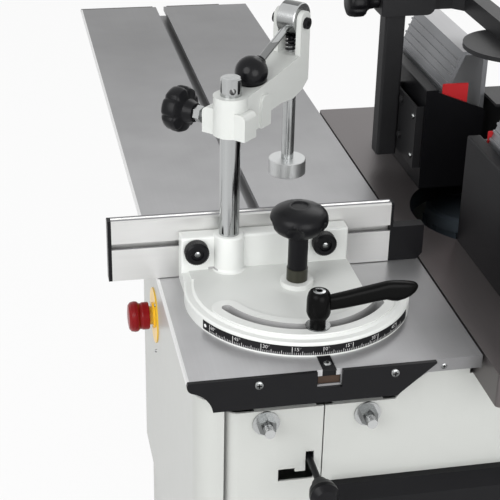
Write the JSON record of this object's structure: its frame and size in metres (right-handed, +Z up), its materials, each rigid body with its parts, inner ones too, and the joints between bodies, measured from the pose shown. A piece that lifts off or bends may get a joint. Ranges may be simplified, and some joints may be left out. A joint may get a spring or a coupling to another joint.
{
  "type": "spindle moulder",
  "caption": "Spindle moulder with cast main table, sliding table, mitre quadrant and fence, cam hold-down, split fence with hood, and a closed sheet cabinet.",
  "frame": {"origin": "on the floor straight below the spindle axis", "axes": "+X along the sliding table towards the infeed end, +Y away from the operator towards the dust outlet, +Z up along the spindle"},
  "size_m": [1.5, 0.904, 1.2068],
  "materials": {
    "white_paint": "powder coated off-white",
    "cast_white": "painted casting",
    "alu": "anodised extrusion",
    "alu_ribbed": "grey anodised",
    "cast": "ground top",
    "steel": "bright",
    "zinc": "zinc plated",
    "black_plastic": "moulded",
    "black_paint": "satin black",
    "red_plastic": "gloss",
    "yellow_plastic": "gloss",
    "rubber": "belt",
    "motor_grey": "painted housing"
  },
  "bodies": {
    "base": {"base_plate": "white_paint", "front_wall": "white_paint", "lever_bracket": "white_paint", "far_wall": "white_paint", "rear_panel": "white_paint", "end_panel_left": "white_paint", "end_panel_right": "white_paint", "front_cover": "white_paint", "control_box": "black_plastic", "estop_base": "yellow_plastic", "main_table": "cast", "guide_rods": "zinc", "guide_beam": "white_paint", "guide_columns": "steel", "screw_bracket": "cast"},
    "estop": {"estop_button": "red_plastic"},
    "release": {"release_lever": "black_plastic"},
    "carriage": {"spindle_carrier": "cast_white", "spindle_bearings": "steel", "motor": "motor_grey", "drive_belt": "rubber"},
    "spindle": {"spindle_shaft": "steel", "spindle_rings": "steel", "spindle_pulley": "steel"},
    "motor_rotor": {"motor_pulley": "steel"},
    "lift": {"lift_screw": "steel"},
    "wheel": {"handwheel_shaft": "steel", "handwheel": "black_paint"},
    "grip": {"handwheel_grip": "black_plastic"},
    "hood": {"hood_shell": "black_paint"},
    "outfeed": {"outfeed_board": "black_plastic", "outfeed_profile": "alu_ribbed", "presser_bracket": "black_paint", "presser_post": "black_paint"},
    "infeed": {"infeed_board": "black_plastic", "infeed_profile": "alu_ribbed"},
    "presser": {"presser_block": "black_paint", "guard_arm": "black_paint"},
    "presser_screw": {"presser_knob": "black_plastic"},
    "carriage_table": {"sliding_table": "alu", "table_end_caps": "black_plastic", "bearing_blocks": "alu"},
    "mitre_bar": {"slide_bar": "black_plastic"},
    "mitre_head": {"mitre_quadrant": "cast_white"},
    "pivot_screw": {"pivot_knob": "black_plastic"},
    "head_lock": {"clamp_lever": "black_plastic"},
    "fence": {"mitre_fence": "alu", "fence_end_pieces": "black_plastic"},
    "fence_screw_left": {"fence_knob_left": "black_plastic"},
    "fence_screw_right": {"fence_knob_right": "black_plastic"},
    "hold_post": {"hold_down_post": "zinc"},
    "hold_arm": {"hold_down_arm": "cast_white", "cam_pin": "zinc"},
    "arm_screw": {"star_knob": "black_plastic"},
    "cam": {"cam_lever": "zinc", "ball_knob": "black_plastic"},
    "plunger": {"plunger": "zinc", "foot_pad": "alu", "return_spring": "black_paint"}
  },
  "joints": [
    {"name": "table_slide", "type": "slide", "parent": "base", "child": "carriage_table", "axis": [1, 0, 0], "range_m": [-0.33, 0.2]},
    {"name": "mitre_travel", "type": "slide", "parent": "carriage_table", "child": "mitre_bar", "axis": [1, 0, 0], "range_m": [-0.55, 0]},
    {"name": "mitre_angle", "type": "hinge", "parent": "mitre_bar", "child": "mitre_head", "pos_m": [0.204, -0.332, 0.88], "axis": [0, 0, 1], "range_deg": [-45, 60]},
    {"name": "fence_shift", "type": "slide", "parent": "mitre_head", "child": "fence", "axis": [0, 1, 0], "range_m": [-0.07, 0]},
    {"name": "fence_knob_left_turn", "type": "hinge", "parent": "mitre_head", "child": "fence_screw_left", "pos_m": [0.158, -0.4475, 0.928], "axis": [1, 0, 0], "range_deg": [-180, 180]},
    {"name": "fence_knob_right_turn", "type": "hinge", "parent": "mitre_head", "child": "fence_screw_right", "pos_m": [0.158, -0.287, 0.928], "axis": [1, 0, 0], "range_deg": [-180, 180]},
    {"name": "pivot_knob_turn", "type": "hinge", "parent": "mitre_bar", "child": "pivot_screw", "pos_m": [0.204, -0.332, 0.98], "axis": [0, 0, 1], "range_deg": [-180, 180]},
    {"name": "clamp_lever_turn", "type": "hinge", "parent": "mitre_bar", "child": "head_lock", "pos_m": [0.3105, -0.332, 0.92], "axis": [0, 0, 1], "range_deg": [-60, 15]},
    {"name": "hold_down_swivel", "type": "hinge", "parent": "mitre_head", "child": "hold_post", "pos_m": [0.148, -0.406, 0.9], "axis": [0, 0, 1], "range_deg": [-5, 90]},
    {"name": "hold_down_height", "type": "slide", "parent": "hold_post", "child": "hold_arm", "axis": [0, 0, 1], "range_m": [-0.09, 0.02]},
    {"name": "star_knob_turn", "type": "hinge", "parent": "hold_arm", "child": "arm_screw", "pos_m": [0.09377, -0.46024, 1.0925], "axis": [-0.7071, -0.7071, 0], "range_deg": [-180, 180]},
    {"name": "cam_lever_lift", "type": "hinge", "parent": "hold_arm", "child": "cam", "pos_m": [0.05572, -0.31372, 1.184], "axis": [-0.7071, -0.7071, 0], "range_deg": [0, 90]},
    {"name": "plunger_stroke", "type": "slide", "parent": "hold_arm", "child": "plunger", "axis": [0, 0, 1], "range_m": [-0.006, 0], "deforming": ["return_spring"]},
    {"name": "estop_push", "type": "slide", "parent": "base", "child": "estop", "axis": [0, 1, 0], "range_m": [0, 0.004], "stiffness_N_per_m": 600},
    {"name": "release_lever_drop", "type": "hinge", "parent": "base", "child": "release", "pos_m": [0.17, -0.342, 0.739], "axis": [0, 1, 0], "range_deg": [0, 8]},
    {"name": "spindle_height", "type": "slide", "parent": "base", "child": "carriage", "axis": [0, 0, 1], "range_m": [-0.05, 0.035]},
    {"name": "spindle_spin", "type": "hinge", "parent": "carriage", "child": "spindle", "pos_m": [0, 0, 0.74], "axis": [0, 0, 1], "continuous": true},
    {"name": "motor_spin", "type": "hinge", "parent": "carriage", "child": "motor_rotor", "pos_m": [-0.185, 0.04, 0.626], "axis": [0, 0, 1], "continuous": true},
    {"name": "lift_screw_spin", "type": "hinge", "parent": "base", "child": "lift", "pos_m": [0, 0.13, 0.6], "axis": [0, 0, 1], "range_deg": [-1501, 1051]},
    {"name": "handwheel_spin", "type": "hinge", "parent": "base", "child": "wheel", "pos_m": [0.2, 0.13, 0.505], "axis": [1, 0, 0], "range_deg": [-1051, 1501]},
    {"name": "grip_spin", "type": "hinge", "parent": "wheel", "child": "grip", "pos_m": [0.419, 0.13, 0.423], "axis": [1, 0, 0], "continuous": true},
    {"name": "hood_depth", "type": "slide", "parent": "base", "child": "hood", "axis": [0, 1, 0], "range_m": [0, 0.05]},
    {"name": "outfeed_shift", "type": "slide", "parent": "hood", "child": "outfeed", "axis": [1, 0, 0], "range_m": [-0.015, 0.02]},
    {"name": "infeed_shift", "type": "slide", "parent": "hood", "child": "infeed", "axis": [1, 0, 0], "range_m": [-0.02, 0.015]},
    {"name": "presser_height", "type": "slide", "parent": "outfeed", "child": "presser", "axis": [0, 0, 1], "range_m": [-0.03, 0]},
    {"name": "presser_knob_turn", "type": "hinge", "parent": "presser", "child": "presser_screw", "pos_m": [-0.18, -0.15, 1.133], "axis": [0, 1, 0], "range_deg": [-180, 180]}
  ],
  "couplings": [
    {"joint": "plunger_stroke", "follows": "cam_lever_lift", "m_per_rad": -0.0035651},
    {"joint": "motor_spin", "follows": "spindle_spin", "ratio": 0.62963},
    {"joint": "lift_screw_spin", "follows": "spindle_height", "rad_per_m": 523.6},
    {"joint": "handwheel_spin", "follows": "spindle_height", "rad_per_m": -523.6}
  ]
}
